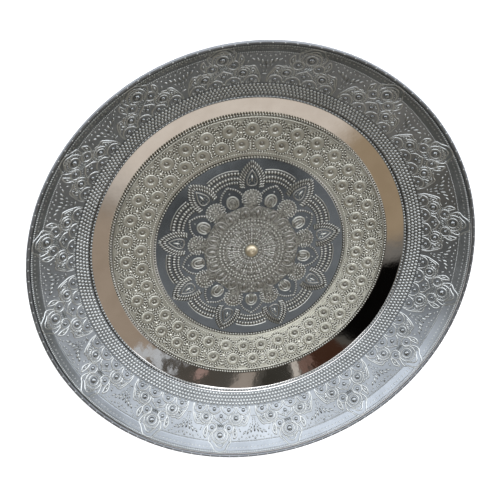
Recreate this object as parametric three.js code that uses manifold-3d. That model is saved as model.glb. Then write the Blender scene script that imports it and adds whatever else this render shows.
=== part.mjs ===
// Charger plate: a dished, polished metal sheet on a soldered foot ring. Three die-stamped mounts lie on it:
// a floral rim border, a well border and a centre medallion. Beaded wires cover their edges, a round wire
// stiffens the rim, and a riveted stud holds the medallion at the centre. Millimetres, +Z up, base at z = 0.
import * as THREE from 'three';
import { mergeVertices } from 'three/addons/utils/BufferGeometryUtils.js';
import Module from 'manifold-3d';

const wasm = await Module();
wasm.setup();

// Sheet and joints
const sheetThickness = 1.2;
const borderThickness = 0.7;
const medallionThickness = 0.8;
const solderGap = 0.3;
const seamClearance = 0.3;

// Zones of the dish from the centre outwards: level widths and slopes in degrees
const medallionRadius = 75.6;
const wellWidth = 33.4;
const wellSlope = 10.7;
const mirrorBandWidth = 12.6;
const mirrorBandSlope = 25.5;
const rimWidth = 34.6;
const rimSlope = 38.5;
const lipWidth = 4.5;
const lipSlope = 62;

// Wires that cover the edges
const medallionBeadDiameter = 1.6;
const wellBeadDiameter = 1.6;
const rimBeadDiameter = 2.2;
const edgeWireDiameter = 2.6;

// Foot ring under the flat floor
const footHeight = 3;
const footWidth = 4;
const footInset = 6;

// Centre stud with its rove, the washer that the shank is peened over
const shankRadius = 2;
const shankClearance = 0.3;
const studHeadRadius = 5.2;
const studHeadHeight = 3.2;
const studPunchRadius = 1;
const studPunchDepth = 0.8;
const studTailFlare = 1;
const studTailHeight = 0.8;
const roveWidth = 2.6;
const roveThickness = 0.9;

// Embossed rim flowers: one large flower and two side flowers in each repeat
const rimRepeats = 16;
const topFlowerDiameter = 9;
const topFlowerInset = 5.8;
const sideFlowerDiameter = 8;
const sideFlowerInset = 19.6;
const sideFlowerSpread = 26;
const rimReliefHeight = 1.1;

// Embossed well roundels in two staggered rows, and the turn at which the border was soldered, in degrees
const wellBorderTurn = -2.2;
const roundelCount = 36;
const roundelDiameter = 12.4;
const roundelCrestWidth = 1.6;
const roundelHeight = 0.7;
const roundelButtonHeight = 0.4;
const outerRoundelInset = 10;
const innerRoundelInset = 10;

// Embossed medallion: pointed petals, with scallops and buds between them, round a rosette,
// and the turn at which it was riveted, in degrees
const medallionTurn = -2.7;
const petalCount = 9;
const petalRootRadius = 35;
const petalBellyRadius = 57;
const petalHalfWidth = 10.4;
const petalTipSetback = 1.2;
const petalHeight = 0.6;
const scallopSetback = 7;
const scallopRadius = 29.6;
const scallopWidth = 10.6;
const scallopSpread = 52;
const budRadius = 42.8;
const budLength = 12.2;
const budWidth = 11.2;
const budHeight = 0.8;
const rosetteRadius = 26;
const rosetteWidth = 4.4;
const rosetteHeight = 0.8;

// Facets
const turnSegments = 64;
const wireSides = 6;
const domeSides = 6;
const roundelSides = 8;
const studSegments = 24;
const curveSteps = 5;

const wireSeat = (diameter) => diameter + 2 * seamClearance;

// Levels of the flat stack at the centre
const floorUnder = footHeight;
const floorTop = floorUnder + sheetThickness;
const medallionTop = floorTop + medallionThickness;

// Upper line of the sheet: radius and height at each bend
const boreRadius = shankRadius + shankClearance;
const floorRadius = medallionRadius + wireSeat(medallionBeadDiameter);
const wellZone = { width: wellWidth, slope: wellSlope };
const bandZone = { width: mirrorBandWidth, slope: mirrorBandSlope };
const rimZone = { width: rimWidth, slope: rimSlope };
const lipZone = { width: lipWidth, slope: lipSlope };
const sheetLine = [new THREE.Vector2(boreRadius, floorTop), new THREE.Vector2(floorRadius, floorTop)];
for (const zone of [wellZone, bandZone, rimZone, lipZone]) {
  const rise = zone.width * Math.tan(THREE.MathUtils.degToRad(zone.slope));
  zone.start = sheetLine.at(-1);
  zone.end = new THREE.Vector2(zone.start.x + zone.width, zone.start.y + rise);
  zone.along = zone.end.clone().sub(zone.start).normalize();
  zone.out = new THREE.Vector2(-zone.along.y, zone.along.x);
  zone.length = zone.start.distanceTo(zone.end);
  sheetLine.push(zone.end);
}

// Point at a distance up a zone's slope and a height above its surface
function onZone(zone, distance, height = 0) {
  return zone.start.clone().addScaledVector(zone.along, distance).addScaledVector(zone.out, height);
}

// The line moved sideways by a distance, with its bends kept sharp
function offsetLine(line, distance) {
  const sides = line.slice(1).map((point, i) => {
    const along = point.clone().sub(line[i]).normalize();
    return new THREE.Vector2(-along.y, along.x);
  });
  return line.map((point, i) => {
    const before = sides[Math.max(i - 1, 0)];
    const after = sides[Math.min(i, sides.length - 1)];
    const mitre = before.clone().add(after).normalize();
    return point.clone().addScaledVector(mitre, distance / mitre.dot(after));
  });
}

// Solid of revolution about +Z from a profile of radius and height
function turned(profile, segments = turnSegments) {
  const geometry = new THREE.LatheGeometry(profile, segments);
  geometry.rotateX(Math.PI / 2);
  return geometry;
}

// Ring of sheet that follows a line between two heights above it
function turnedSheet(line, low, high, segments = turnSegments) {
  const under = offsetLine(line, low);
  const over = offsetLine(line, high).reverse();
  return turned([...under, ...over, under[0]], segments);
}

// Wire ring round a centre point of the profile
function turnedWire(centre, diameter) {
  const profile = [];
  for (let i = 0; i <= wireSides; i += 1) {
    const angle = (2 * Math.PI * (i % wireSides)) / wireSides;
    const spoke = new THREE.Vector2(Math.cos(angle), Math.sin(angle));
    profile.push(centre.clone().addScaledVector(spoke, diameter / 2));
  }
  return turned(profile);
}

// Boolean union of a base with its raised ornaments
function toSolid(geometry) {
  const bare = geometry.clone();
  bare.deleteAttribute('normal');
  bare.deleteAttribute('uv');
  const merged = mergeVertices(bare, 1e-4);
  const vertProperties = new Float32Array(merged.attributes.position.array);
  const triVerts = new Uint32Array(merged.index.array);
  return new wasm.Manifold(new wasm.Mesh({ numProp: 3, vertProperties, triVerts }));
}

function embossed(base, ornaments) {
  let solid = toSolid(base);
  for (const ornament of ornaments) {
    solid = solid.add(toSolid(ornament));
  }
  const mesh = solid.getMesh();
  const geometry = new THREE.BufferGeometry();
  geometry.setAttribute('position', new THREE.BufferAttribute(mesh.vertProperties, 3));
  geometry.setIndex(new THREE.BufferAttribute(mesh.triVerts, 1));
  geometry.computeVertexNormals();
  return geometry;
}

// Low dome with a short root that sinks into the sheet below it
const borderRoot = borderThickness / 2;
function dome(diameter, height) {
  const profile = [new THREE.Vector2(0, -borderRoot), new THREE.Vector2(diameter / 2, -borderRoot)];
  for (const lift of [0, Math.PI / 4]) {
    profile.push(new THREE.Vector2((Math.cos(lift) * diameter) / 2, Math.sin(lift) * height));
  }
  profile.push(new THREE.Vector2(0, height));
  return turned(profile, domeSides);
}

// Roundel: a raised ring round a lower button, with the same short root
function roundel() {
  const edge = roundelDiameter / 2;
  const profile = [
    new THREE.Vector2(0, -borderRoot),
    new THREE.Vector2(edge, -borderRoot),
    new THREE.Vector2(edge, roundelHeight / 2),
    new THREE.Vector2(edge - roundelCrestWidth / 2, roundelHeight),
    new THREE.Vector2(edge - roundelCrestWidth, roundelButtonHeight),
    new THREE.Vector2(0, roundelButtonHeight),
  ];
  return turned(profile, roundelSides);
}

// Ornament standing on a border, square to its slope, at an angle about the axis
function onBorder(geometry, zone, distance, angle) {
  const seat = onZone(zone, distance, solderGap + borderThickness);
  geometry.rotateY(-THREE.MathUtils.degToRad(zone.slope));
  geometry.translate(seat.x, 0, seat.y);
  geometry.rotateZ(angle);
  return geometry;
}

// Dished sheet, seen bare as the mirror band and from below
function bodySheet() {
  return turnedSheet(sheetLine, -sheetThickness, 0);
}

// Rim border from the beaded wire up to the edge of the lip
const rimBorderStart = wireSeat(rimBeadDiameter);
function rimBorder() {
  const line = [onZone(rimZone, rimBorderStart), rimZone.end, lipZone.end];
  const base = turnedSheet(line, solderGap, solderGap + borderThickness);
  const pitch = (2 * Math.PI) / rimRepeats;
  const sideRadius = onZone(rimZone, rimZone.length - sideFlowerInset).x;
  const sideAngle = sideFlowerSpread / 2 / sideRadius;
  const flowers = [];
  for (let i = 0; i < rimRepeats; i += 1) {
    const topDistance = rimZone.length - topFlowerInset;
    const sideDistance = rimZone.length - sideFlowerInset;
    flowers.push(onBorder(dome(topFlowerDiameter, rimReliefHeight), rimZone, topDistance, i * pitch));
    for (const side of [-1, 1]) {
      const angle = i * pitch + side * sideAngle;
      flowers.push(onBorder(dome(sideFlowerDiameter, rimReliefHeight), rimZone, sideDistance, angle));
    }
  }
  return embossed(base, flowers);
}

// Well border between the two beaded wires, with roundels in two rows
const wellBorderEnd = wellZone.length - wireSeat(wellBeadDiameter);
function wellBorder() {
  const line = [onZone(wellZone, seamClearance), onZone(wellZone, wellBorderEnd)];
  const base = turnedSheet(line, solderGap, solderGap + borderThickness);
  const pitch = (2 * Math.PI) / roundelCount;
  const roundels = [];
  for (let i = 0; i < roundelCount; i += 1) {
    const outerDistance = wellBorderEnd - outerRoundelInset;
    roundels.push(onBorder(roundel(), wellZone, outerDistance, i * pitch));
    roundels.push(onBorder(roundel(), wellZone, innerRoundelInset, (i + 0.5) * pitch));
  }
  return embossed(base, roundels);
}

// Outline raised from the medallion, with a short root that sinks into it
function raised(outline, height) {
  const root = medallionThickness / 2;
  const settings = { depth: root + height, bevelEnabled: false, curveSegments: curveSteps };
  const geometry = new THREE.ExtrudeGeometry(outline, settings);
  geometry.translate(0, 0, medallionTop - root);
  return geometry;
}

// Pointed petal lying along +X
function petal() {
  const tip = medallionRadius - petalTipSetback;
  const outline = new THREE.Shape();
  outline.moveTo(petalRootRadius, 0);
  outline.quadraticCurveTo(petalRootRadius, -petalHalfWidth, petalBellyRadius, -petalHalfWidth);
  outline.quadraticCurveTo((petalBellyRadius + tip) / 2, -petalHalfWidth, tip, 0);
  outline.quadraticCurveTo((petalBellyRadius + tip) / 2, petalHalfWidth, petalBellyRadius, petalHalfWidth);
  outline.quadraticCurveTo(petalRootRadius, petalHalfWidth, petalRootRadius, 0);
  return raised(outline, petalHeight);
}

// Scallop between two petals: a crescent across +X
function scallop() {
  const centre = medallionRadius - scallopSetback - scallopRadius;
  const half = THREE.MathUtils.degToRad(scallopSpread) / 2;
  const outline = new THREE.Shape();
  outline.absarc(centre, 0, scallopRadius, -half, half, false);
  outline.absarc(centre, 0, scallopRadius - scallopWidth, half, -half, true);
  return raised(outline, petalHeight);
}

// Bud under the scallop
function bud() {
  const outline = new THREE.Shape();
  outline.absellipse(budRadius, 0, budLength / 2, budWidth / 2, 0, 2 * Math.PI);
  return raised(outline, budHeight);
}

// Medallion disc with a bore for the stud, petals, scallops, buds and a raised rosette ring
function medallion() {
  const floorLine = [new THREE.Vector2(boreRadius, floorTop), new THREE.Vector2(medallionRadius, floorTop)];
  const base = turnedSheet(floorLine, 0, medallionThickness);
  const rosetteRoot = medallionTop - medallionThickness / 2;
  const rosetteLine = [
    new THREE.Vector2(rosetteRadius - rosetteWidth, rosetteRoot),
    new THREE.Vector2(rosetteRadius, rosetteRoot),
  ];
  const ornaments = [turnedSheet(rosetteLine, 0, medallionThickness / 2 + rosetteHeight)];
  const pitch = (2 * Math.PI) / petalCount;
  for (let i = 0; i < petalCount; i += 1) {
    ornaments.push(petal().rotateZ(i * pitch));
    ornaments.push(scallop().rotateZ((i + 0.5) * pitch));
    ornaments.push(bud().rotateZ((i + 0.5) * pitch));
  }
  return embossed(base, ornaments);
}

// Stud: domed head with a punched centre, shank through both sheets, tail peened under the rove
const roveUnder = floorUnder - roveThickness;
function centreStud() {
  const tailRadius = shankRadius + studTailFlare;
  const tailUnder = roveUnder - studTailHeight;
  const profile = [
    new THREE.Vector2(0, tailUnder),
    new THREE.Vector2(tailRadius, tailUnder),
    new THREE.Vector2(tailRadius, roveUnder),
    new THREE.Vector2(shankRadius, roveUnder),
    new THREE.Vector2(shankRadius, medallionTop),
  ];
  const crown = Math.acos(studPunchRadius / studHeadRadius);
  const crownLift = studHeadHeight / Math.sin(crown);
  for (let i = 0; i <= curveSteps; i += 1) {
    const angle = (crown * i) / curveSteps;
    const lift = crownLift * Math.sin(angle);
    profile.push(new THREE.Vector2(studHeadRadius * Math.cos(angle), medallionTop + lift));
  }
  profile.push(new THREE.Vector2(0, medallionTop + studHeadHeight - studPunchDepth));
  return turned(profile, studSegments);
}

function studRove() {
  const roveLine = [
    new THREE.Vector2(boreRadius, roveUnder),
    new THREE.Vector2(boreRadius + roveWidth, roveUnder),
  ];
  return turnedSheet(roveLine, 0, roveThickness, studSegments);
}

// Beaded wires on their seats, drawn as plain wire rings
function medallionBeadWire() {
  const lift = solderGap + medallionBeadDiameter / 2;
  const radius = medallionRadius + wireSeat(medallionBeadDiameter) / 2;
  return turnedWire(new THREE.Vector2(radius, floorTop + lift), medallionBeadDiameter);
}

function wellBeadWire() {
  const distance = wellZone.length - wireSeat(wellBeadDiameter) / 2;
  return turnedWire(onZone(wellZone, distance, solderGap + wellBeadDiameter / 2), wellBeadDiameter);
}

function rimBeadWire() {
  const distance = wireSeat(rimBeadDiameter) / 2;
  return turnedWire(onZone(rimZone, distance, solderGap + rimBeadDiameter / 2), rimBeadDiameter);
}

// Round wire on the joined edges of the sheet and the rim border
function edgeWire() {
  const stackMiddle = (solderGap + borderThickness - sheetThickness) / 2;
  const distance = lipZone.length + seamClearance + edgeWireDiameter / 2;
  return turnedWire(onZone(lipZone, distance, stackMiddle), edgeWireDiameter);
}

function footRing() {
  const outer = floorRadius - footInset;
  const footLine = [new THREE.Vector2(outer - footWidth, 0), new THREE.Vector2(outer, 0)];
  return turnedSheet(footLine, 0, footHeight);
}

const plate = new THREE.Group();

function addPiece(name, geometry, color, roughness, turn = 0) {
  const material = new THREE.MeshStandardMaterial({ color, roughness, metalness: 1 });
  const mesh = new THREE.Mesh(geometry, material);
  mesh.name = name;
  mesh.rotation.z = THREE.MathUtils.degToRad(turn);
  plate.add(mesh);
}

addPiece('body_sheet', bodySheet(), '#d2cabd', 0.08);
addPiece('rim_border', rimBorder(), '#9a9ca3', 0.3);
addPiece('well_border', wellBorder(), '#a49e8c', 0.42, wellBorderTurn);
addPiece('medallion', medallion(), '#838b94', 0.3, medallionTurn);
addPiece('medallion_bead_wire', medallionBeadWire(), '#b3b0a6', 0.3);
addPiece('well_bead_wire', wellBeadWire(), '#b3b0a6', 0.3);
addPiece('rim_bead_wire', rimBeadWire(), '#c6c7cb', 0.22);
addPiece('edge_wire', edgeWire(), '#d8d5d0', 0.15);
addPiece('centre_stud', centreStud(), '#b39b78', 0.25);
addPiece('stud_rove', studRove(), '#b39b78', 0.35);
addPiece('foot_ring', footRing(), '#bdb8ae', 0.3);

export default plate;
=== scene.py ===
import math
import bmesh
import bpy
from mathutils import Matrix, Vector
from mathutils.geometry import interpolate_bezier


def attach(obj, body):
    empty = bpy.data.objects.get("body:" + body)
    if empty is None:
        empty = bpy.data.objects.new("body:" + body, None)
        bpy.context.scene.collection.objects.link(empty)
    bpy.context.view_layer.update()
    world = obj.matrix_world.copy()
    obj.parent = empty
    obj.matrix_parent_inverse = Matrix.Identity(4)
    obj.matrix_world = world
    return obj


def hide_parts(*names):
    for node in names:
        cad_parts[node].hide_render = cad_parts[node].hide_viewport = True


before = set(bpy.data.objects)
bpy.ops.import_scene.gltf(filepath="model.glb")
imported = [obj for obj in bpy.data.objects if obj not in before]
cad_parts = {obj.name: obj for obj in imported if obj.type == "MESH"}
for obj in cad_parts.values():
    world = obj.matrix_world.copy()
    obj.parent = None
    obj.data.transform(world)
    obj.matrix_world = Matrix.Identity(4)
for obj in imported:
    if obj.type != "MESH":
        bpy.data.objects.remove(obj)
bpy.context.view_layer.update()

print("frame loaded:", len(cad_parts), "nodes")

mmPerMetre = 1000
weldGap = 1e-4  # millimetres under which two points are one
sharpDegrees = 66  # faces that meet at a wider angle keep a crisp edge

# the dish's cross-section in millimetres, each zone as (level width, slope in degrees)
dish = dict(
    floorTop=4.2, floorRadius=77.8, sheet=1.2, border=0.7, solder=0.3, seam=0.3, bend=0.8, turns=288,
    well=(33.4, 10.7), band=(12.6, 25.5), rim=(34.6, 38.5), lip=(4.5, 62.0),
)
skinTop = dish["solder"] + dish["border"]  # height of a border's face above the sheet


def layZones():
    laid = {}
    point = Vector((dish["floorRadius"], dish["floorTop"]))
    for name in ("well", "band", "rim", "lip"):
        width, slope = dish[name]
        along = Vector((math.cos(math.radians(slope)), math.sin(math.radians(slope))))
        length = width / along.x
        laid[name] = dict(start=point, along=along, out=Vector((-along.y, along.x)), length=length)
        point = point + along * length
        laid[name]["end"] = point
    return laid


zones = layZones()


# place on a zone: local x sideways, y up the slope, z out of the metal
def seat(zone, distance, sideways, lift):
    z = zones[zone]
    spot = z["start"] + z["along"] * distance + z["out"] * lift
    axes = Matrix((
        (0, z["along"].x, z["out"].x, spot.x),
        (-1, 0, 0, 0),
        (0, z["along"].y, z["out"].y, spot.y),
        (0, 0, 0, 1),
    ))
    return Matrix.Rotation(-sideways / spot.x, 4, "Z") @ axes


# curves drawn flat, in millimetres
def smoothLine(points, steps=5):
    knots = [Vector((x, y, 0)) for x, y in points]
    line = []
    for i in range(len(knots) - 1):
        before = knots[max(i - 1, 0)]
        after = knots[min(i + 2, len(knots) - 1)]
        leave = knots[i] + (knots[i + 1] - before) / 6
        arrive = knots[i + 1] - (after - knots[i]) / 6
        line += interpolate_bezier(knots[i], leave, arrive, knots[i + 1], steps)[:-1]
    return line + [knots[-1]]


def arcLine(x, y, wide, tall, fromDegrees, toDegrees, steps=24):
    line = []
    for i in range(steps + 1):
        angle = math.radians(fromDegrees + (toDegrees - fromDegrees) * i / steps)
        line.append(Vector((x + wide * math.cos(angle), y + tall * math.sin(angle), 0)))
    return line


def walkLine(line, pitch):
    spans = [(b - a).length for a, b in zip(line, line[1:])]
    count = max(round(sum(spans) / pitch), 1)
    gap = sum(spans) / count
    passed = 0.0
    target = gap / 2
    for a, b, span in zip(line, line[1:], spans):
        while span > 0 and target <= passed + span:
            heading = math.atan2(b.y - a.y, b.x - a.x)
            yield a.lerp(b, (target - passed) / span), heading
            target += gap
        passed += span


# raised marks: size is (width, length, height)
def markShape(size):
    return Matrix.Diagonal((size[0] / 2, size[1] / 2, size[2], 1))


def addBead(bm, place, size):
    shape = markShape(size)
    bmesh.ops.create_icosphere(bm, subdivisions=1, radius=1, matrix=place @ shape)


def addDome(bm, place, size):
    shape = markShape(size)
    bmesh.ops.create_uvsphere(bm, u_segments=10, v_segments=6, radius=1, matrix=place @ shape)


def addWedge(bm, place, size):
    shape = markShape(size) @ Matrix.Rotation(math.pi / 2, 4, "Z")
    bmesh.ops.create_cone(
        bm, cap_ends=True, segments=3, radius1=1, radius2=0.35, depth=1, matrix=place @ shape,
    )


# raised line with a rounded back, as (share of half the width, share of the height)
ridgeSection = ((-1, 0), (-0.6, 0.75), (0, 1), (0.6, 0.75), (1, 0))
ridgeSink = 0.05  # millimetres that its foot lies under the face
loopGap = 0.01  # ends of a line nearer than this, in millimetres, are joined


def addRidge(bm, put, line, width, height):
    closed = (line[0] - line[-1]).length < loopGap
    knots = line[:-1] if closed else line
    last = len(knots) - 1
    rows = []
    for i, point in enumerate(knots):
        starts = not closed and i == 0
        ends = not closed and i == last
        before = point if starts else knots[i - 1]
        after = point if ends else knots[(i + 1) % len(knots)]
        heading = math.atan2(after.y - before.y, after.x - before.x)
        place = put(point.x, point.y) @ Matrix.Rotation(heading - math.pi / 2, 4, "Z")
        rise = 0 if starts or ends else height
        corners = [Vector((x * width / 2, 0, z * rise - ridgeSink)) for x, z in ridgeSection]
        rows.append([bm.verts.new(place @ corner) for corner in corners])
    if closed:
        rows.append(rows[0])
    for a, b in zip(rows, rows[1:]):
        for i in range(len(ridgeSection) - 1):
            bm.faces.new((a[i], a[i + 1], b[i + 1], b[i]))


# line of edges through (radius, height) points, ready to be turned about the z axis of its place
def drawProfile(outline, place=Matrix()):
    bm = bmesh.new()
    verts = [bm.verts.new(place @ Vector((radius, 0, height))) for radius, height in outline]
    for a, b in zip(verts, verts[1:]):
        bm.edges.new((a, b))
    return bm, verts


def roundCorners(bm, verts, radius, segments):
    bmesh.ops.bevel(
        bm, geom=verts, offset=radius, segments=segments, profile=0.5, affect="VERTICES", material=-1,
    )


def spinRound(bm, steps, place=Matrix()):
    bmesh.ops.spin(
        bm, geom=bm.verts[:] + bm.edges[:], cent=place.translation, axis=place.col[2].xyz,
        dvec=(0, 0, 0), angle=2 * math.pi, steps=steps, use_merge=True,
    )
    bmesh.ops.remove_doubles(bm, verts=bm.verts[:], dist=weldGap)
    bmesh.ops.recalc_face_normals(bm, faces=bm.faces[:])


# round wire bent into a hoop through a spot
def addHoop(bm, spot, wire, sides):
    hoop = bmesh.new()
    level = Matrix.Translation((0, 0, spot.z))
    tube = level @ Matrix.Translation((spot.x, 0, 0)) @ Matrix.Rotation(math.pi / 2, 4, "X")
    bmesh.ops.create_circle(hoop, segments=sides, radius=wire / 2, matrix=tube)
    spinRound(hoop, dish["turns"], level)
    joinInto(bm, hoop)


# button turned from an outline of (radius, height) points, from axis to axis or round a closed ring
def addButton(bm, place, outline, closed=False, steps=16):
    button, verts = drawProfile(outline, place)
    if closed:
        button.edges.new((verts[-1], verts[0]))
    spinRound(button, steps, place)
    joinInto(bm, button)


def beadLine(bm, put, line, pitch, size, lean=0):
    for point, heading in walkLine(line, pitch):
        turn = heading - math.pi / 2 + math.radians(lean)
        addBead(bm, put(point.x, point.y) @ Matrix.Rotation(turn, 4, "Z"), size)


def bothSides(points):
    return [[(side * x, y) for x, y in points] for side in (1, -1)]


def repeatRound(bm, count):
    bmesh.ops.spin(
        bm, geom=bm.verts[:] + bm.edges[:] + bm.faces[:], cent=(0, 0, 0), axis=(0, 0, 1), dvec=(0, 0, 0),
        angle=2 * math.pi * (count - 1) / count, steps=count - 1, use_duplicate=True,
    )


def beadRow(bm, place, size, groups, each, maker=addBead):
    row = bmesh.new()
    for i in range(each):
        maker(row, Matrix.Rotation(2 * math.pi * i / (groups * each), 4, "Z") @ place, size)
    repeatRound(row, groups)
    joinInto(bm, row)


def joinInto(bm, other):
    mesh = bpy.data.meshes.new("join")
    other.to_mesh(mesh)
    other.free()
    bm.from_mesh(mesh)
    bpy.data.meshes.remove(mesh)


# sheet of metal turned from a profile of (radius, height) points; the thickness goes down
def turnSheet(line, thickness, bend=0.0):
    bm, verts = drawProfile(line)
    if bend:
        roundCorners(bm, verts[1:-1], bend, segments=4)
    spinRound(bm, dish["turns"])
    if sum(face.normal.z for face in bm.faces) < 0:
        bmesh.ops.reverse_faces(bm, faces=bm.faces[:])
    bmesh.ops.solidify(bm, geom=bm.faces[:], thickness=thickness)
    return bm


# solid turned from an outline of (radius, height) points that starts and ends on the axis
def turnSolid(outline, rounding, steps):
    bm, verts = drawProfile(outline)
    roundCorners(bm, verts[1:-1], rounding, segments=3)
    spinRound(bm, steps)
    return bm


# ring turned from a closed outline, drawn as a face so that each corner can be rounded
def turnRing(outline, rounding, steps):
    bm = bmesh.new()
    verts = [bm.verts.new((radius, 0, height)) for radius, height in outline]
    bm.faces.new(verts)
    roundCorners(bm, verts, rounding, segments=3)
    bmesh.ops.delete(bm, geom=bm.faces[:], context="FACES_ONLY")
    spinRound(bm, steps)
    return bm


def markFaces(bm, index):
    for face in bm.faces:
        face.material_index = index


def markInside(bm, radius, index):
    for face in bm.faces:
        if face.calc_center_median().xy.length < radius:
            face.material_index = index


def turnPiece(bm, degrees):
    turn = Matrix.Rotation(math.radians(degrees), 3, "Z")
    bmesh.ops.rotate(bm, cent=(0, 0, 0), matrix=turn, verts=bm.verts[:])


# millimetres to metres, smooth faces with crisp sheet edges, and a ride on the plate
def finishPiece(bm, name, materials, node=None):
    bmesh.ops.scale(bm, vec=(1 / mmPerMetre,) * 3, verts=bm.verts[:])
    mesh = bpy.data.meshes.new(name)
    bm.to_mesh(mesh)
    bm.free()
    mesh.shade_smooth()
    mesh.set_sharp_from_angle(angle=math.radians(sharpDegrees))
    piece = bpy.data.objects.new(name, mesh)
    bpy.context.collection.objects.link(piece)
    for material in materials:
        mesh.materials.append(material)
    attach(piece, "root")
    if node:
        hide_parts(node)
    mesh.calc_loop_triangles()
    print(name, len(mesh.loop_triangles), "triangles")


# materials
def toLinear(hexCode):
    parts = [int(hexCode[i:i + 2], 16) / 255 for i in (1, 3, 5)]
    return [c / 12.92 if c <= 0.04045 else ((c + 0.055) / 1.055) ** 2.4 for c in parts] + [1.0]


def addNode(tree, kind, inputs=None, **settings):
    node = tree.nodes.new(kind)
    for key, value in settings.items():
        setattr(node, key, value)
    for socket, value in (inputs or {}).items():
        if isinstance(value, bpy.types.NodeSocket):
            tree.links.new(value, node.inputs[socket])
        else:
            node.inputs[socket].default_value = value
    return node


# plated metal: two tones drift over the piece, roughness is patchy, and a fine grain catches the light
metalLook = dict(toneStops=(0.35, 0.65), driftDetail=4.0, grainDetail=3.0)


def makeMetal(name, tones, roughness, grainMm, grainDepthMm, driftMm=18):
    material = bpy.data.materials.new(name)
    material.use_nodes = True
    tree = material.node_tree
    shader = tree.nodes["Principled BSDF"]
    shader.inputs["Metallic"].default_value = 1.0
    place = addNode(tree, "ShaderNodeTexCoord").outputs["Object"]
    drift = addNode(tree, "ShaderNodeTexNoise", {
        "Vector": place, "Scale": mmPerMetre / driftMm, "Detail": metalLook["driftDetail"],
    })
    tone = addNode(tree, "ShaderNodeValToRGB", {"Fac": drift.outputs["Fac"]})
    for stop, position, hexCode in zip(tone.color_ramp.elements, metalLook["toneStops"], tones):
        stop.position = position
        stop.color = toLinear(hexCode)
    grain = addNode(tree, "ShaderNodeTexNoise", {
        "Vector": place, "Scale": mmPerMetre / grainMm, "Detail": metalLook["grainDetail"],
    })
    patch = addNode(tree, "ShaderNodeMapRange", {
        "Value": drift.outputs["Fac"], "To Min": roughness[0], "To Max": roughness[1],
    })
    bump = addNode(tree, "ShaderNodeBump", {
        "Height": grain.outputs["Fac"], "Distance": grainDepthMm / mmPerMetre, "Strength": 1.0,
    })
    tree.links.new(tone.outputs["Color"], shader.inputs["Base Color"])
    tree.links.new(patch.outputs["Result"], shader.inputs["Roughness"])
    tree.links.new(bump.outputs["Normal"], shader.inputs["Normal"])
    return material


# mirror of the bare band: clear, faintly wavy reflections of the room
buffedSilver = makeMetal("buffed silver plate", ("#d6cfc6", "#dfd9d1"), (0.03, 0.08), 14, 0.1)
# quiet grey between the raised lines of the rim
struckGround = makeMetal(
    "die-struck silver, dull ground", ("#7a7c7c", "#878989"), (0.28, 0.38), 0.6, 0.03,
)
# painted shade: dark ground and wire core that stand in for the shade in the gaps between the beads along
# the mirror band
struckPaintedShade = makeMetal(
    "die-struck silver, painted shade in the hollows", ("#646666", "#727474"), (0.32, 0.42), 0.6, 0.03,
)
# raised lines and beads worn pale, so that the pattern reads white against the ground
rubbedSilver = makeMetal(
    "die-struck silver, rubbed bright", ("#9e9e99", "#adada8"), (0.3, 0.4), 0.8, 0.02,
)
# rows of beads, rough enough to spread their highlights
wornSilver = makeMetal("die-struck silver, worn beads", ("#a3a39e", "#b1b1ac"), (0.36, 0.46), 0.8, 0.02)
# pearls that throw one small point of light
pearlSilver = makeMetal(
    "die-struck silver, burnished pearls", ("#7c7d7b", "#8a8b89"), (0.2, 0.28), 2, 0.02,
)
# plain line round the outside that takes the tone of the lip
drawnWire = makeMetal("drawn silver wire, dulled", ("#6a6b6b", "#767777"), (0.36, 0.46), 0.5, 0.03)
# painted shade: dark strips and wire cores that stand in for the shaded pits setting the beads of the well
# apart
champagnePaintedShade = makeMetal(
    "champagne plate, painted shade in the hollows", ("#5b584f", "#69665c"), (0.4, 0.5), 0.6, 0.04,
)
# painted shade: the dimple in each button is coloured darker to stand in for the shade in it
champagneDimpleShade = makeMetal(
    "champagne plate, painted shade in the dimples", ("#7d7a70", "#8b887e"), (0.28, 0.38), 0.6, 0.04,
)
# matt khaki-silver of the well
champagneSatin = makeMetal("champagne plate, satin", ("#a09d91", "#adaa9e"), (0.28, 0.36), 0.7, 0.04)
# smooth fillets and buttons that pick up light and dark from the room
champagneFillet = makeMetal(
    "champagne plate, burnished fillets", ("#a6a397", "#b3b0a4"), (0.3, 0.38), 2, 0.02,
)
# small lively highlights on the well's beads
champagneBead = makeMetal(
    "champagne plate, rubbed beads", ("#c3c0b4", "#d1cec3"), (0.28, 0.38), 0.7, 0.03,
)
# slate field that shows between the petals
tonedGround = makeMetal("blue-grey toned silver ground", ("#6b6e70", "#777a7c"), (0.12, 0.18), 0.8, 0.01)
# darker slate inside the pointed arches
tonedCell = makeMetal(
    "blue-grey toned silver, dark cells", ("#626567", "#6d7072"), (0.14, 0.2), 0.8, 0.01,
)
# painted shade: dark bands under the ribs of petals, scallops and ogee arches stand in for the shade in the
# gaps between them
tonedPaintedShade = makeMetal(
    "toned silver, painted shade in the hollows", ("#4f4e4a", "#5d5b56"), (0.32, 0.42), 0.8, 0.05,
)
# warm grey of the leaves, the small arches and the lines of the rosette
tonedRelief = makeMetal("toned silver, warm relief", ("#827f77", "#928f87"), (0.3, 0.4), 0.8, 0.05)
# pale ribs of the petals, scallops and rows
tonedRib = makeMetal("toned silver, rubbed ribs", ("#aeaca3", "#bfbdb4"), (0.3, 0.4), 0.8, 0.02)
# speckled, crusty grey of the crowded centre, the balls and the buds
tonedMatt = makeMetal("toned silver, matted centre", ("#5d5b55", "#9d9b92"), (0.3, 0.42), 1.2, 0.3, 1.6)
# soft straw-coloured point in the middle
turnedBrass = makeMetal("turned brass", ("#b2a58c", "#c2b59c"), (0.36, 0.46), 0.5, 0.02)
print("materials made")


# dished sheet: bare as the mirror band, hidden under the borders elsewhere
def makeBodySheet():
    line = [(medallionWork["bore"], dish["floorTop"]), (dish["floorRadius"], dish["floorTop"])]
    line += [tuple(zones[name]["end"]) for name in ("well", "band", "rim", "lip")]
    bm = turnSheet(line, dish["sheet"], dish["bend"])
    finishPiece(bm, "bodySheet", [buffedSilver], "body_sheet")


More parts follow.
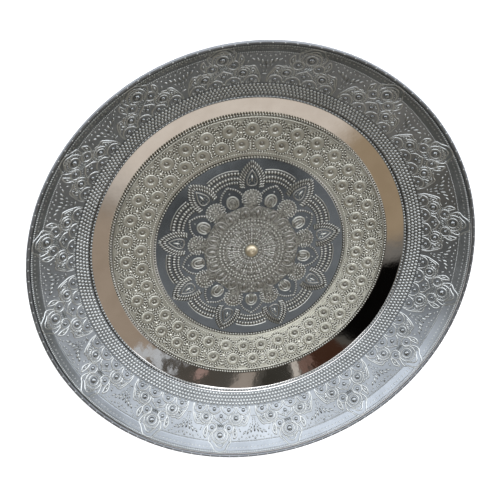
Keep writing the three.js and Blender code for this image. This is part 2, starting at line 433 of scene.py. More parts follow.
# rim border: places are (share of a repeat, millimetres up the rim from the mirror band)
rimWork = dict(
    repeats=16, line=(1.3, 0.55), ropePitch=1.3, rope=(1.2, 1.3, 0.75),
    dotGap=1.35, dotPitch=1.9, dot=(1.0, 1.0, 0.5),
    beadedBand=(2.8, 15.6), beadRows=(4.6, 7.3, 10.0, 12.7), beads=19, beadSize=(2.4, 3.0, 0.8),
    dashRow=52.6, dashes=40, dashSize=(1.15, 2.8, 0.6), dashGate=0.06,
    wedgeRow=49.0, wedges=20, wedgeSize=(2.6, 3.0, 0.8), wedgeGate=0.1,
)


def rimPut(sideways, up):
    rimLength = zones["rim"]["length"]
    if up <= rimLength:
        return seat("rim", up, sideways, skinTop)
    return seat("lip", up - rimLength, sideways, skinTop)


def rimShare(share, up):
    radius = rimPut(0, up).translation.x
    return share * 2 * math.pi / rimWork["repeats"] * radius


def rimSides(points):
    return bothSides([(rimShare(share, up), up) for share, up in points])


def rimLine(bm, points):
    for side in rimSides(points):
        addRidge(bm, rimPut, smoothLine(side), *rimWork["line"])


# both sides of the axis, or once for a mark that stands on it
def sidesOf(share):
    return (1, -1) if share else (1,)


# ridge round a middle, with dots outside it
def rimCircle(bm, share, up, radius, fromDegrees=0, toDegrees=360):
    for side in sidesOf(share):
        first = 90 - side * (90 - fromDegrees)
        last = 90 - side * (90 - toDegrees)
        line = arcLine(side * rimShare(share, up), up, radius, radius, first, last, 18)
        addRidge(bm, rimPut, line, *rimWork["line"])
        dots = radius + rimWork["dotGap"]
        line = arcLine(side * rimShare(share, up), up, dots, dots, first, last, 18)
        beadLine(bm, rimPut, line, rimWork["dotPitch"], rimWork["dot"])


# each place is (share, up, width, height)
def rimDomes(bm, places):
    for share, up, width, height in places:
        for side in sidesOf(share):
            addDome(bm, rimPut(side * rimShare(share, up), up), (width, width, height))


# each stroke is (share, up, tilt in degrees, size)
def rimStrokes(bm, strokes):
    for share, up, tilt, size in strokes:
        for side in sidesOf(share):
            place = rimPut(side * rimShare(share, up), up)
            addBead(bm, place @ Matrix.Rotation(math.radians(-side * tilt), 4, "Z"), size)


# scalloped cells along the bead rows
def drawRimCells(bm):
    rimLine(bm, [(0.012, 14.8), (0.03, 19.2), (0.116, 21.7), (0.2, 19.2), (0.222, 14.8)])
    rimLine(bm, [(0.244, 14.8), (0.27, 19.6), (0.355, 22.0), (0.425, 19.6), (0.45, 14.8)])
    rimStrokes(bm, [(0.0, 16.6, 90, (1.0, 3.6, 0.6)), (0.232, 16.4, 90, (1.0, 3.8, 0.6))])
    for share in (0.05, 0.075, 0.157, 0.182, 0.29, 0.315, 0.39, 0.41):
        rimStrokes(bm, [(share, 15.4, 0, (1.1, 2.8, 0.6))])


# round flowers, the fan cell between them and the shoulders that run over them
def drawRimFlowers(bm):
    rimCircle(bm, 0.232, 24.7, 5.4, -30, 210)
    rimCircle(bm, 0.232, 24.7, 3.3)
    rimLine(bm, [(0.112, 22.4), (0.085, 25.6), (0.03, 27.4), (-0.005, 29.0)])
    rimStrokes(bm, [(0.022, 25.6, 12, (0.9, 2.6, 0.6)), (0.046, 25.0, 26, (0.9, 2.4, 0.6))])
    rimLine(bm, [
        (0.456, 14.8), (0.455, 20), (0.43, 24), (0.4, 28), (0.362, 30.8), (0.306, 30.4), (0.25, 31.4),
    ])
    rimLine(bm, [(0.42, 22.5), (0.392, 26), (0.36, 28.6), (0.33, 28.4)])
    rimStrokes(bm, [(0.345, 25.2, 30, (1.9, 4.6, 0.8)), (0.378, 24.2, 24, (1.0, 3.4, 0.6))])


# small cells, hatched lozenge and side leaves
def drawRimLeaves(bm):
    rimCircle(bm, 0.125, 32.8, 3.9)
    for tilt in (-38, 38):
        for shift in (-1.7, 0, 1.7):
            place = rimPut(shift, 31.0) @ Matrix.Rotation(math.radians(tilt), 4, "Z")
            addBead(bm, place, (0.75, 4.6, 0.8))
    rimLine(bm, [(0.2, 31.6), (0.232, 34.6), (0.24, 38.0), (0.205, 41.6)])
    rimLine(bm, [(0.2, 31.6), (0.185, 35.4), (0.19, 38.6), (0.205, 41.6)])
    rimStrokes(bm, [(0.212, 36.6, 4, (1.5, 4.6, 0.7)), (0.285, 34.6, 24, (1.3, 3.6, 0.6))])


# large flower under a horseshoe arch that reaches the edge
def drawRimArch(bm):
    rimCircle(bm, 0, 38.9, 6.6, -60, 240)
    rimCircle(bm, 0, 38.6, 4.0)
    rimLine(bm, [
        (0.115, 36.4), (0.15, 40.4), (0.152, 44.4), (0.112, 47.0),
        (0.085, 50.2), (0.06, 52.4), (-0.005, 53.2),
    ])
    rimLine(bm, [(0.1, 43.6), (0.06, 46.2), (0.035, 48.4), (-0.005, 49.6)])
    rimStrokes(bm, [(0.135, 43.6, 50, (0.8, 2.6, 0.6)), (0.135, 43.6, -50, (0.8, 2.6, 0.6))])


# palmette between two repeats: a fan of leaves on a stem, with dots and a rope line over it
def drawRimPalmette(bm):
    rimStrokes(bm, [(0.5, 33.6, 0, (1.7, 6.4, 0.85)), (0.452, 34.4, -10, (1.7, 5.8, 0.85))])
    rimStrokes(bm, [(0.405, 35.8, -26, (1.7, 5.8, 0.85)), (0.352, 36.6, -44, (1.7, 4.6, 0.85))])
    rimStrokes(bm, [(0.478, 29.4, -6, (0.9, 4.4, 0.6)), (0.44, 30.8, -20, (0.9, 4.0, 0.6))])
    rimStrokes(bm, [(0.5, 23.2, 90, (1.0, 4.6, 0.6)), (0.484, 25.6, -14, (0.8, 3.2, 0.5))])
    rimDomes(bm, [(0.42, 40.4, 1.6, 0.7), (0.47, 39.6, 1.6, 0.7), (0.5, 41.4, 1.8, 0.7)])
    rimDomes(bm, [(0.375, 41.2, 1.5, 0.6), (0.31, 39.8, 1.5, 0.6), (0.272, 41.4, 1.4, 0.6)])
    rimDomes(bm, [(0.3, 27.2, 1.4, 0.6), (0.41, 17.0, 1.4, 0.6)])
    for side in rimSides([(0.165, 43.4), (0.34, 43.2), (0.5, 43.2)]):
        beadLine(bm, rimPut, smoothLine(side), rimWork["ropePitch"], rimWork["rope"])


# profile moved out of the metal, square to its lines and along the mitre at a bend
def liftLine(line, lift):
    points = [Vector(point) for point in line]
    sides = [Vector((-(b - a).y, (b - a).x)).normalized() for a, b in zip(points, points[1:])]
    lifted = []
    for i, point in enumerate(points):
        before = sides[max(i - 1, 0)]
        after = sides[min(i, len(sides) - 1)]
        mitre = (before + after).normalized()
        lifted.append(tuple(point + mitre * (lift / mitre.dot(after))))
    return lifted


def makeRimBorder():
    bm = bmesh.new()
    drawRimCells(bm)
    drawRimFlowers(bm)
    drawRimLeaves(bm)
    drawRimArch(bm)
    drawRimPalmette(bm)
    repeatRound(bm, rimWork["repeats"])
    markFaces(bm, 1)
    pearls = bmesh.new()
    rimDomes(pearls, [(0.0, 38.6, 5.0, 1.7), (0.232, 24.7, 4.2, 1.5), (0.125, 32.8, 3.2, 1.2)])
    rimDomes(pearls, [(0.0, 23.2, 3.2, 1.1), (0.116, 17.9, 3.4, 1.2), (0.35, 17.9, 3.4, 1.2)])
    repeatRound(pearls, rimWork["repeats"])
    markFaces(pearls, 2)
    joinInto(bm, pearls)
    line = [tuple(zones["rim"]["start"] + zones["rim"]["along"] * up) for up in rimWork["beadedBand"]]
    line += [tuple(zones["rim"]["end"]), tuple(zones["lip"]["end"])]
    ground = turnSheet(liftLine(line, skinTop), dish["border"], dish["bend"])
    # the ground under the rows of beads takes the painted shade of slot 3, darker than the rest of the rim
    markInside(ground, line[1][0] - dish["bend"], 3)
    joinInto(bm, ground)
    materials = [struckGround, rubbedSilver, pearlSilver, struckPaintedShade]
    finishPiece(bm, "rimBorder", materials, "rim_border")


def makeRimRows():
    bm = bmesh.new()
    # dashes and wedges stop short of the arch in the middle of each repeat
    for name, plural, maker in (("dash", "dashes", addBead), ("wedge", "wedges", addWedge)):
        count = rimWork[plural]
        up = rimWork[name + "Row"]
        for i in range(count):
            share = (i + 0.5) / count - 0.5
            if abs(share) > rimWork[name + "Gate"]:
                maker(bm, rimPut(rimShare(share, up), up), rimWork[name + "Size"])
    # each row of beads is half a step on from the last
    for row, up in enumerate(rimWork["beadRows"]):
        for i in range(rimWork["beads"]):
            share = (i + row / 2) / rimWork["beads"]
            addDome(bm, rimPut(rimShare(share, up), up), rimWork["beadSize"])
    repeatRound(bm, rimWork["repeats"])
    finishPiece(bm, "rimRows", [wornSilver])


# well border: places are (share of a repeat, millimetres up the slope from the flat floor)
wellWork = dict(
    repeats=36, turn=-2.2, outerRow=21.8, innerRow=10.2, ring=6.5,
    pitch=2.2, bead=(1.55, 1.45, 0.8), shadeStrip=(1.7, 0.16), edgeRow=30.9, edgeWire=1.4, edgeSides=8,
    button=((1.9, -0.1), (5.3, -0.1), (5.2, 0.22), (4.7, 0.4), (2.6, 0.4), (1.9, 0.04)),
    dimple=((0, -0.1), (2.0, -0.1), (2.0, 0.06), (1.0, 0.03), (0.75, 0.3), (0.3, 0.43), (0, 0.45)),
    hoodRise=0.4, hood=(8.5, 8.2), hoodSpan=(4, 176),
    filletRow=27.3, fillet=(6.4, 5.6, 0.9), bossRow=19.2, boss=(2.6, 2.6, 0.9),
    stem=((0.075, 4.8), (0.075, 9.0), (0.08, 13.0), (0.16, 15.6), (0.33, 17.6), (0.42, 20.6)),
    floorRow=2.4, floorBeads=8, floorBead=(1.3, 1.3, 0.6), margins=(0.3, 2.2),
)


def wellPut(sideways, up):
    return seat("well", up, sideways, skinTop)


def wellShare(share, up):
    return share * 2 * math.pi / wellWork["repeats"] * wellPut(0, up).translation.x


def wellSpot(share, up):
    return wellPut(wellShare(share, up), up)


# beads on a thin raised strip coloured dark as painted shade under them
def wellBeads(beads, shadeStrips, line):
    beadLine(beads, wellPut, line, wellWork["pitch"], wellWork["bead"])
    addRidge(shadeStrips, wellPut, line, *wellWork["shadeStrip"])


def makeWellBorder():
    shadeStrips = bmesh.new()
    dimples = bmesh.new()
    fillets = bmesh.new()
    beads = bmesh.new()
    outer = wellWork["outerRow"]
    inner = wellWork["innerRow"]
    ring = wellWork["ring"]
    aside = wellShare(0.5, inner)
    # dimpled buttons with a small boss, in two staggered rows, each in a ring of beads
    for x, up in ((0, outer), (aside, inner)):
        addButton(fillets, wellPut(x, up), wellWork["button"], closed=True)
        # the dimple takes painted shade, darker than the button round it
        addButton(dimples, wellPut(x, up), wellWork["dimple"])
        wellBeads(beads, shadeStrips, arcLine(x, up, ring, ring, 0, 360))
    hood = arcLine(0, outer + wellWork["hoodRise"], *wellWork["hood"], *wellWork["hoodSpan"])
    wellBeads(beads, shadeStrips, hood)
    # smooth fillets between the hoods, and a bright boss under each
    fillet = wellSpot(0.5, wellWork["filletRow"]) @ Matrix.Rotation(math.pi, 4, "Z")
    addWedge(fillets, fillet, wellWork["fillet"])
    addDome(beads, wellSpot(0.5, wellWork["bossRow"]), wellWork["boss"])
    # twin beaded lines between the inner buttons, and a row along the floor
    for side in bothSides([(wellShare(share, up), up) for share, up in wellWork["stem"]]):
        wellBeads(beads, shadeStrips, smoothLine(side))
    for i in range(wellWork["floorBeads"]):
        share = (i + 0.5) / wellWork["floorBeads"] - 0.5
        addBead(beads, wellSpot(share, wellWork["floorRow"]), wellWork["floorBead"])
    # the strips under the beads take the painted shade of slot 0
    for bm, index in ((shadeStrips, 0), (beads, 2), (dimples, 3), (fillets, 4)):
        repeatRound(bm, wellWork["repeats"])
        markFaces(bm, index)
    edge = bmesh.new()
    spot = wellPut(0, wellWork["edgeRow"]).translation
    addHoop(edge, spot, wellWork["edgeWire"], wellWork["edgeSides"])
    zone = zones["well"]
    low, high = wellWork["margins"]
    ends = [tuple(zone["start"] + zone["along"] * distance) for distance in (low, zone["length"] - high)]
    ground = turnSheet(liftLine(ends, skinTop), dish["border"])
    for bm in (edge, ground):
        markFaces(bm, 1)
    for bm in (beads, dimples, fillets, edge, ground):
        joinInto(shadeStrips, bm)
    turnPiece(shadeStrips, wellWork["turn"])
    materials = [champagnePaintedShade, champagneSatin, champagneBead, champagneDimpleShade, champagneFillet]
    finishPiece(shadeStrips, "wellBorder", materials, "well_border")


# medallion: places are (millimetres aside, millimetres from the centre), on the axis of a petal or scallop
medallionWork = dict(
    repeats=9, turn=-2.7, top=5.0, thickness=0.8, radius=75.6, bore=2.3, matted=41,
    line=(1.2, 0.65), petalBand=(5.6, 0.3), rib=(3.3, 1.2, 0.95), ribPitch=2.0, ribLean=35,
    ribRows=(0.2, 0.78),
    ballMiddle=43.6, ball=(17.0, 16.0, 0.3), dotMiddle=43.4,
    dotFans=(
        (5.0, -30, 210, 11, (1.4, 1.9, 0.9)),
        (7.6, -15, 195, 14, (1.5, 1.7, 0.8)),
        (1.9, 0, 300, 6, (1.2, 1.4, 0.9)),
    ),
    scallopMiddle=39, scallopSpan=(62, 118), bandHeight=0.3, bandRib=(0.9, 0.78, 0.9),
    scallopBands=((27.5, 3.4, 2.35), (23.6, 3.4, 2.3), (20.3, 2.6, 2.0)),
    scallopEdge=29.8, edgeSpan=(64, 116), edgeLine=(0.9, 0.6),
    ogee=(2.0, 0.6), ogeePitch=1.9, ogeeBead=(2.1, 1.3, 0.95), cellLift=0.06,
    archAside=8.7, archLine=(1.3, 0.75),
    beadRows=((25.6, 7), (22.8, 6), (18.4, 6), (14.6, 5), (10.8, 4), (6.9, 2)), bead=(1.7, 1.7, 0.85),
)


def onAxis(degrees):
    turn = Matrix.Rotation(math.radians(degrees), 4, "Z")
    axes = Matrix(((0, 1, 0, 0), (-1, 0, 0, 0), (0, 0, 1, medallionWork["top"]), (0, 0, 0, 1)))

    def put(x, y, lift=0.0):
        return turn @ axes @ Matrix.Translation((x, y, lift))
    return put


def axisRidge(bm, put, points, size=None):
    for side in bothSides(points):
        addRidge(bm, put, smoothLine(side), *(size or medallionWork["line"]))


# beads set out along an arc, each pointing away from its middle
def axisFan(bm, put, y, radius, fromDegrees, toDegrees, count, size):
    for i in range(count):
        angle = math.radians(fromDegrees + (toDegrees - fromDegrees) * i / (count - 1))
        place = put(radius * math.cos(angle), y + radius * math.sin(angle))
        addBead(bm, place @ Matrix.Rotation(angle - math.pi / 2, 4, "Z"), size)


def makePetal(bands, balls, buds, ribs, put):
    outer = [(0, 75.2), (3.6, 71.9), (6.9, 68.2), (8.8, 64.5), (10.0, 60.5), (9.6, 56.5), (8.6, 52.5)]
    inner = [(0, 68.6), (1.7, 67.2), (3.4, 64.8), (4.8, 61.8), (5.7, 58.6), (6.0, 55.6), (5.8, 52.4)]

    def between(share):
        pairs = zip(outer, inner)
        return [(a[0] + (b[0] - a[0]) * share, a[1] + (b[1] - a[1]) * share) for a, b in pairs]
    # a wide low band of painted shade under the two rows of ribs
    axisRidge(bands, put, between(0.5), medallionWork["petalBand"])
    lean = medallionWork["ribLean"]
    for share in medallionWork["ribRows"]:
        for side, sideLean in zip(bothSides(between(share)), (lean, -lean)):
            beadLine(ribs, put, smoothLine(side), medallionWork["ribPitch"], medallionWork["rib"], sideLean)
    # leaf inside the petal
    axisRidge(buds, put, [(-0.2, 66.8), (2.1, 63.5), (3.7, 59.5), (3.9, 57), (2.8, 54.9), (-0.2, 54.2)])
    addBead(ribs, put(0, 60.2), (1.8, 7.0, 1.0))
    for i in range(2):
        for side in (1, -1):
            place = put(side * 1.9, 56.8 + 2.2 * i) @ Matrix.Rotation(side * 0.6, 4, "Z")
            addBead(ribs, place, (0.9, 2.2, 0.8))
    # dotted ball under the petal
    addDome(balls, put(0, medallionWork["ballMiddle"]), medallionWork["ball"])
    for fan in medallionWork["dotFans"]:
        axisFan(ribs, put, medallionWork["dotMiddle"], *fan)


def makeScallop(cells, bands, balls, ribs, put):
    middle = medallionWork["scallopMiddle"]
    edge = medallionWork["scallopEdge"]
    line = arcLine(0, middle, edge, edge, *medallionWork["edgeSpan"])
    addRidge(ribs, put, line, *medallionWork["edgeLine"])
    wide, long, high = medallionWork["bandRib"]
    # each row of ribs stands on a low band of painted shade
    for radius, width, pitch in medallionWork["scallopBands"]:
        line = arcLine(0, middle, radius, radius, *medallionWork["scallopSpan"])
        addRidge(bands, put, line, width, medallionWork["bandHeight"])
        beadLine(ribs, put, line, pitch, (width * wide, pitch * long, high))
    # ogee arch with a hooded bud in it
    arch = [(-0.2, 56.6), (2.2, 54.9), (5.6, 52.5), (8.1, 49.0), (9.3, 45.0), (9.0, 41.0), (7.6, 37.5)]
    # the ogee line under its beads is coloured as painted shade
    axisRidge(bands, put, arch, medallionWork["ogee"])
    for side in bothSides(arch):
        beadLine(ribs, put, smoothLine(side), medallionWork["ogeePitch"], medallionWork["ogeeBead"])
    right = [(p.x, p.y) for p in smoothLine(arch)[1:]]
    left = [(-x, y) for x, y in reversed(right)]
    places = [put(x, y, medallionWork["cellLift"]) for x, y in left + right]
    cells.faces.new([cells.verts.new(place.translation) for place in places])
    addBead(ribs, put(0, 51.4), (1.4, 1.4, 0.8))
    addDome(balls, put(0, 43.8), (10.4, 12.2, 0.5))
    addRidge(ribs, put, arcLine(0, 43.6, 4.5, 5.2, -55, 235), 1.3, 1.0)
    axisRidge(ribs, put, [(-0.2, 46.8), (1.7, 45.8), (2.3, 43.2), (2.1, 40.0)], (1.1, 1.1))
    addBead(ribs, put(0, 42.4), (1.1, 4.4, 1.2))
    for x, y in ((0, 35.6), (1.9, 34.0), (-1.9, 34.0), (0, 32.0), (0, 28.8)):
        addBead(ribs, put(x, y), (1.5, 1.5, 0.8))


def makeSmallArch(buds, put):
    arch = [(-0.2, 37.2), (2.4, 36.1), (4.0, 32.8), (3.5, 28.4)]
    axisRidge(buds, put, arch, medallionWork["archLine"])
    addDome(buds, put(0, 31.8), (2.8, 5.8, 0.9))


def makeRosette(buds, ribs, petal, scallop):
    axisRidge(buds, scallop, [(-0.2, 20.4), (1.9, 18.4), (2.0, 13.4), (1.0, 8.8)])
    addBead(ribs, scallop(0, 16.8), (1.4, 3.2, 0.8))
    addBead(ribs, scallop(0, 12.4), (1.0, 3.0, 0.7))
    for i in range(6):
        addBead(ribs, petal(0, 9.0 + 2.1 * i), (1.4, 1.4, 0.8))
    axisRidge(buds, petal, [(1.4, 9.6), (2.5, 14.6), (2.7, 19.2), (-0.2, 21.4)])


def makeMedallion():
    bands = bmesh.new()
    cells = bmesh.new()
    balls = bmesh.new()
    buds = bmesh.new()
    ribs = bmesh.new()
    petal = onAxis(0)
    scallop = onAxis(180 / medallionWork["repeats"])
    makePetal(bands, balls, buds, ribs, petal)
    makeScallop(cells, bands, balls, ribs, scallop)
    for side in (1, -1):
        makeSmallArch(buds, onAxis(side * medallionWork["archAside"]))
    makeRosette(buds, ribs, petal, scallop)
    for bm in (bands, cells, balls, buds, ribs):
        repeatRound(bm, medallionWork["repeats"])
    for radius, each in medallionWork["beadRows"]:
        beadRow(ribs, petal(0, radius), medallionWork["bead"], medallionWork["repeats"], each)
    # slot 1, the bands under the ribs, is painted shade
    for bm, index in ((bands, 1), (ribs, 2), (balls, 3), (buds, 4), (cells, 5)):
        markFaces(bm, index)
    rings = (medallionWork["bore"], medallionWork["matted"], medallionWork["radius"])
    ground = turnSheet([(radius, medallionWork["top"]) for radius in rings], medallionWork["thickness"])
    markInside(ground, medallionWork["matted"], 3)
    for bm in (cells, balls, buds, ribs, ground):
        joinInto(bands, bm)
    turnPiece(bands, medallionWork["turn"])
    materials = [tonedGround, tonedPaintedShade, tonedRib, tonedMatt, tonedRelief, tonedCell]
    finishPiece(bands, "centreMedallion", materials, "medallion")


# beaded wires: round beads on a core coloured dark as painted shade between them, each at its distance from
# an end of the zone or from the centre
beadWires = dict(
    rim=dict(diameter=2.2, groups=16, each=19, at=1.4, piece="rimBeadWire", node="rim_bead_wire"),
    well=dict(diameter=1.6, groups=18, each=18, at=1.1, piece="wellBeadWire", node="well_bead_wire"),
    medallion=dict(
        diameter=1.6, groups=18, each=12, at=76.7, piece="medallionBeadWire", node="medallion_bead_wire",
    ),
)
beadShape = dict(core=0.75, coreSides=8, across=0.85)  # core and width as shares of the diameter


def makeBeadWire(wire, place, materials):
    bm = bmesh.new()
    diameter = wire["diameter"]
    addHoop(bm, place.translation, diameter * beadShape["core"], beadShape["coreSides"])
    beads = bmesh.new()
    halfPitch = Matrix.Rotation(math.pi / (wire["groups"] * wire["each"]), 4, "Z")
    size = (diameter * beadShape["across"], diameter, diameter / 2)
    beadRow(beads, halfPitch @ place, size, wire["groups"], wire["each"], addDome)
    markFaces(beads, 1)
    joinInto(bm, beads)
    finishPiece(bm, wire["piece"], materials, wire["node"])


def makeBeadWires():
    rise = dish["solder"]
    rim = beadWires["rim"]
    rimSeat = seat("rim", rim["at"], 0, rise + rim["diameter"] / 2)
    makeBeadWire(rim, rimSeat, [struckPaintedShade, rubbedSilver])
    champagne = [champagnePaintedShade, champagneBead]
    well = beadWires["well"]
    wellSeat = seat("well", zones["well"]["length"] - well["at"], 0, rise + well["diameter"] / 2)
    makeBeadWire(well, wellSeat, champagne)
    medallion = beadWires["medallion"]
    medallionSeat = onAxis(0)(0, medallion["at"], rise)
    makeBeadWire(medallion, medallionSeat, champagne)


# plain round wire that closes the rim, nicked at even steps
edgeWork = dict(diameter=2.6, sides=16, middle=-0.1, nicks=8, nickSize=(1.2, 1.4, 0.55), nickReach=0.7)


def makeEdgeWire():
    bm = bmesh.new()
    distance = zones["lip"]["length"] + dish["seam"] + edgeWork["diameter"] / 2
    spot = seat("lip", distance, 0, edgeWork["middle"]).translation
    addHoop(bm, spot, edgeWork["diameter"], edgeWork["sides"])
    nicks = bmesh.new()
    reach = edgeWork["diameter"] / 2 * edgeWork["nickReach"]
    place = seat("lip", distance + reach, 0, edgeWork["middle"] + reach)
    beadRow(nicks, place, edgeWork["nickSize"], rimWork["repeats"], edgeWork["nicks"])
    markFaces(nicks, 1)
    joinInto(bm, nicks)
    finishPiece(bm, "edgeWire", [drawnWire, rubbedSilver], "edge_wire")


# stud with a punched centre, its rove, and the foot
studWork = dict(
    shank=2.0, tail=3.0, tailUnder=1.3, roveUnder=2.1, head=5.2, headTop=8.2, punch=1.0, punchDepth=0.8,
    domeSteps=10, rounding=0.06, turns=64,
    roveOuter=4.9, roveTop=3.0, roveRounding=0.15, roveTurns=48,
)


def makeStud():
    s = studWork
    top = medallionWork["top"]
    crown = math.acos(s["punch"] / s["head"])
    lift = (s["headTop"] - top) / math.sin(crown)
    outline = [(0, s["tailUnder"]), (s["tail"], s["tailUnder"]), (s["tail"], s["roveUnder"])]
    outline += [(s["shank"], s["roveUnder"]), (s["shank"], top)]
    for i in range(s["domeSteps"] + 1):
        angle = crown * i / s["domeSteps"]
        outline.append((s["head"] * math.cos(angle), top + lift * math.sin(angle)))
    outline.append((0, s["headTop"] - s["punchDepth"]))
    stud = turnSolid(outline, s["rounding"], s["turns"])
    finishPiece(stud, "centreStud", [turnedBrass], "centre_stud")
    bore = medallionWork["bore"]
    outline = [(bore, s["roveUnder"]), (s["roveOuter"], s["roveUnder"])]
    outline += [(s["roveOuter"], s["roveTop"]), (bore, s["roveTop"])]
    rove = turnRing(outline, s["roveRounding"], s["roveTurns"])
    finishPiece(rove, "studRove", [turnedBrass], "stud_rove")


footWork = dict(outer=71.8, width=4.0, height=3.0, rounding=0.4)


def makeFoot():
    outer = footWork["outer"]
    inner = outer - footWork["width"]
    outline = [(inner, 0), (outer, 0), (outer, footWork["height"]), (inner, footWork["height"])]
    bm = turnRing(outline, footWork["rounding"], dish["turns"])
    finishPiece(bm, "footRing", [buffedSilver], "foot_ring")


makeBodySheet()
makeRimBorder()
makeRimRows()
makeWellBorder()
makeMedallion()
makeBeadWires()
makeEdgeWire()
makeStud()
makeFoot()
print("plate made")


# floor: white paper with a faint glow of its own, size and height in metres
studio = dict(
    floorSize=20.0, floorTop=-0.0002, paperTones=("#fbfaf8", "#ffffff"), paperGrainMm=2.0,
    paperRoughness=0.9, glow=0.25,
)


def makeFloor():
    bm = bmesh.new()
    bmesh.ops.create_grid(bm, x_segments=1, y_segments=1, size=studio["floorSize"])
    mesh = bpy.data.meshes.new("studioFloor")
    bm.to_mesh(mesh)
    bm.free()
    floor = bpy.data.objects.new("studioFloor", mesh)
    floor.location.z = studio["floorTop"]
    bpy.context.collection.objects.link(floor)
    material = bpy.data.materials.new("white paper")
    material.use_nodes = True
    tree = material.node_tree
    shader = tree.nodes["Principled BSDF"]
    shader.inputs["Roughness"].default_value = studio["paperRoughness"]
    shader.inputs["Emission Strength"].default_value = studio["glow"]
    place = addNode(tree, "ShaderNodeTexCoord").outputs["Object"]
    grain = addNode(tree, "ShaderNodeTexNoise", {
        "Vector": place, "Scale": mmPerMetre / studio["paperGrainMm"],
    })
    tone = addNode(tree, "ShaderNodeValToRGB", {"Fac": grain.outputs["Fac"]})
    for stop, paperTone in zip(tone.color_ramp.elements, studio["paperTones"]):
        stop.color = toLinear(paperTone)
    tree.links.new(tone.outputs["Color"], shader.inputs["Base Color"])
    tree.links.new(tone.outputs["Color"], shader.inputs["Emission Color"])
    mesh.materials.append(material)


# camera as solved from the even spacing of the ornament: millimetres, degrees and image pixels
view = dict(
    distance=504.65, elevation=64.05, turn=-9.24, roll=154.66,
    focal=631.58, centre=(251.5, 250.64), image=500, sensor=36, nearMm=10,
)


def makeCamera():
    camera = bpy.data.cameras.new("photoCamera")
    camera.sensor_width = view["sensor"]
    camera.lens = view["focal"] / view["image"] * camera.sensor_width
    camera.shift_x = (view["image"] / 2 - view["centre"][0]) / view["image"]
    camera.shift_y = (view["centre"][1] - view["image"] / 2) / view["image"]
    camera.clip_start = view["nearMm"] / mmPerMetre
    rig = bpy.data.objects.new("photoCamera", camera)
    bpy.context.collection.objects.link(rig)
    lift = Matrix.Translation((0, 0, medallionWork["top"] / mmPerMetre))
    turn = Matrix.Rotation(math.radians(view["turn"]), 4, "Z")
    tilt = Matrix.Rotation(math.radians(90 - view["elevation"]), 4, "X")
    back = Matrix.Translation((0, 0, view["distance"] / mmPerMetre))
    roll = Matrix.Rotation(math.radians(view["roll"]), 4, "Z")
    rig.matrix_world = lift @ turn @ tilt @ back @ roll
    bpy.context.scene.camera = rig


# direction from the plate, by azimuth and elevation in degrees
def toward(azimuth, elevation):
    a = math.radians(azimuth)
    e = math.radians(elevation)
    return Vector((math.cos(a) * math.cos(e), math.sin(a) * math.cos(e), math.sin(e)))


# softboxes: side and distance in metres, power in watts
softboxes = dict(
    key=dict(at=(216, 50), side=0.9, distance=1.4, power=5, tone="#f2f6ff"),
)


def makeLights():
    for name, box in softboxes.items():
        light = bpy.data.lights.new(name, "AREA")
        light.size = box["side"]
        light.energy = box["power"]
        light.color = toLinear(box["tone"])[:3]
        lamp = bpy.data.objects.new(name, light)
        bpy.context.collection.objects.link(lamp)
        aim = toward(*box["at"])
        facing = aim.to_track_quat("Z", "Y").to_matrix().to_4x4()
        lamp.matrix_world = Matrix.Translation(aim * box["distance"]) @ facing


# room as soft panels of light: direction, half spread across and up, fade at the edges, all in degrees
roomBase = (("#bab7b2", 0.0), ("#918f8c", 0.5), ("#6a6a6a", 1.0))
clutterEdges = (0.48, 0.53)  # where the specks of a cluttered panel begin and are full
roomPanels = dict(
    window=dict(at=(227, 24), reach=(80, 28), soft=36, glow=2.75, tone="#ebf1fc"),
    sill=dict(at=(230, 8), reach=(75, 8), soft=12, glow=4.5, tone="#e8effc"),
    ceiling=dict(at=(0, 90), reach=(180, 25), soft=7, glow=0.11, tone="#e8e6e0"),
    shelf=dict(at=(158, 58), reach=(24, 8), soft=4, glow=0.13, tone="#dad4cc"),
    farPatch=dict(at=(200, 71), reach=(6, 3), soft=3, glow=0.42, tone="#efe6df"),
    darkBoard=dict(at=(228, 74), reach=(13, 5), soft=1, glow=0.065, tone="#d8d6cc"),
    warmPatch=dict(at=(284, 75), reach=(17, 6), soft=5, glow=0.1, tone="#c28a70"),
    pinkPatch=dict(at=(262, 76), reach=(7, 5), soft=3, glow=0.3, tone="#d9b3a8", clutter=22.0),
    whitePatch=dict(at=(249, 76), reach=(3, 5), soft=2, glow=0.7, tone="#f4f1ee"),
    darkPatch=dict(at=(337, 67), reach=(24, 11), soft=6, glow=0.003, tone="#d9d4ce"),
    haze=dict(at=(81, 60), reach=(34, 3), soft=7, glow=1.0, tone="#dfe2e5"),
    skylight=dict(at=(85, 84), reach=(52, 6), soft=5, glow=6.2, tone="#e8ecef"),
    warmWall=dict(at=(66, 28), reach=(24, 7), soft=18, glow=0.86, tone="#f2ebe5"),
    leftWall=dict(at=(126, 43), reach=(20, 11), soft=8, glow=0.47, tone="#ead9c8"),
    goldenWall=dict(at=(31, 44), reach=(14, 9), soft=10, glow=0.5, tone="#e0cbae"),
    plaster=dict(at=(152, 57), reach=(8, 6), soft=3, glow=0.8, tone="#dfe8f4", clutter=22.0),
    pinkSpot=dict(at=(171, 65), reach=(1.6, 1.2), soft=1, glow=0.5, tone="#e8c9c4"),
)


def addMath(tree, operation, *values):
    return addNode(tree, "ShaderNodeMath", dict(enumerate(values)), operation=operation).outputs["Value"]


# one inside an angle, fading to nothing beyond it
def fadeOut(tree, angle, reach, soft):
    return addNode(tree, "ShaderNodeMapRange", {
        "Value": angle, "From Min": math.radians(reach + soft), "From Max": math.radians(reach),
    }, interpolation_type="SMOOTHSTEP").outputs["Result"]


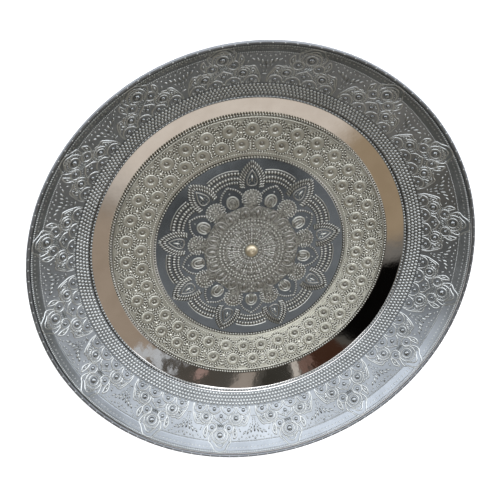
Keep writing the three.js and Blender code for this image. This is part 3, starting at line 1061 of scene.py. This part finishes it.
def makeWorld():
    world = bpy.data.worlds.new("studio")
    bpy.context.scene.world = world
    world.use_nodes = True
    tree = world.node_tree
    place = addNode(tree, "ShaderNodeTexCoord").outputs["Object"]
    unit = addNode(tree, "ShaderNodeVectorMath", {0: place}, operation="NORMALIZE")
    direction = unit.outputs["Vector"]
    height = addNode(tree, "ShaderNodeSeparateXYZ", {"Vector": direction}).outputs["Z"]
    elevation = addMath(tree, "ARCSINE", height)
    level = addNode(tree, "ShaderNodeVectorMath", {0: direction, 1: (1, 1, 0)}, operation="MULTIPLY")
    heading = addNode(tree, "ShaderNodeVectorMath", {0: level.outputs["Vector"]}, operation="NORMALIZE")
    ramp = addNode(tree, "ShaderNodeValToRGB", {"Fac": height})
    ramp.color_ramp.elements.new(0.5)
    for stop, (tone, position) in zip(ramp.color_ramp.elements, roomBase):
        stop.position = position
        stop.color = toLinear(tone)
    glow = ramp.outputs["Color"]
    for panel in roomPanels.values():
        azimuth, lift = panel["at"]
        across, up = panel["reach"]
        nearness = addNode(tree, "ShaderNodeVectorMath", {
            0: heading.outputs["Vector"], 1: toward(azimuth, 0),
        }, operation="DOT_PRODUCT").outputs["Value"]
        beside = addMath(tree, "ARCCOSINE", nearness)
        above = addMath(tree, "ABSOLUTE", addMath(tree, "SUBTRACT", elevation, math.radians(lift)))
        share = addMath(
            tree, "MULTIPLY",
            fadeOut(tree, beside, across, panel["soft"]), fadeOut(tree, above, up, panel["soft"]),
        )
        if "clutter" in panel:
            specks = addNode(tree, "ShaderNodeTexNoise", {
                "Vector": direction, "Scale": panel["clutter"],
            })
            patchy = addNode(tree, "ShaderNodeMapRange", {
                "Value": specks.outputs["Fac"], "From Min": clutterEdges[0], "From Max": clutterEdges[1],
            })
            share = addMath(tree, "MULTIPLY", share, patchy.outputs["Result"])
        tone = [c * panel["glow"] for c in toLinear(panel["tone"])[:3]] + [1.0]
        # sockets of a colour mix: 0 is the share, 6 and 7 the two colours, 2 the result
        mix = addNode(tree, "ShaderNodeMix", {0: share, 6: glow, 7: tone}, data_type="RGBA")
        glow = mix.outputs[2]
    tree.links.new(glow, tree.nodes["Background"].inputs["Color"])


makeFloor()
makeCamera()
makeLights()
makeWorld()
bpy.context.scene.view_settings.view_transform = "Standard"
print("studio made")
